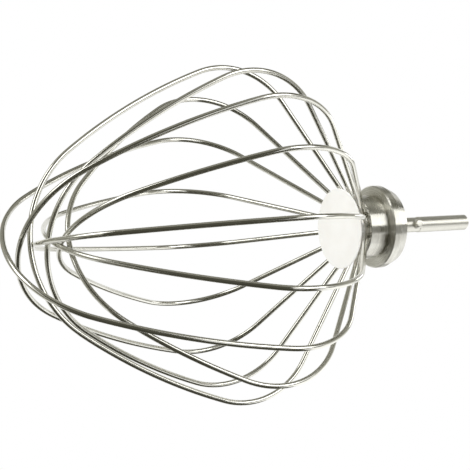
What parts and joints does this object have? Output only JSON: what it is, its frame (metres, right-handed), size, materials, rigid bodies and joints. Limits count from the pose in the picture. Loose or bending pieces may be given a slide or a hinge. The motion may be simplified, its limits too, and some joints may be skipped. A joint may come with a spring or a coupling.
{
  "type": "stand mixer wire whip",
  "caption": "Balloon wire whip for a planetary stand mixer: nested bent wire loops in a turned steel hub, a plastic centre disc and a round drive shaft with a cross pin.",
  "frame": {"origin": "the middle of the ground round stretch of the drive shaft, between the cross pin and the chamfered end, where the mixer's socket grips it", "axes": "+Z along the whip's axis, out of the shaft's free end, with the wire cage hanging below; +X along the cross pin"},
  "size_m": [0.1578, 0.1628, 0.2516],
  "materials": {
    "shaft_steel": "ground",
    "hub_steel": "fine turned",
    "wire_steel": "drawn and polished",
    "disc_plastic": "matte"
  },
  "bodies": {
    "root": {"drive_shaft": "shaft_steel", "cross_pin": "shaft_steel", "hub": "hub_steel", "centre_disc": "disc_plastic", "wire_loop_1": "wire_steel", "wire_loop_2": "wire_steel", "wire_loop_3": "wire_steel", "wire_loop_4": "wire_steel", "wire_loop_5": "wire_steel", "wire_loop_6": "wire_steel", "wire_loop_7": "wire_steel", "wire_loop_8": "wire_steel"}
  },
  "joints": []
}
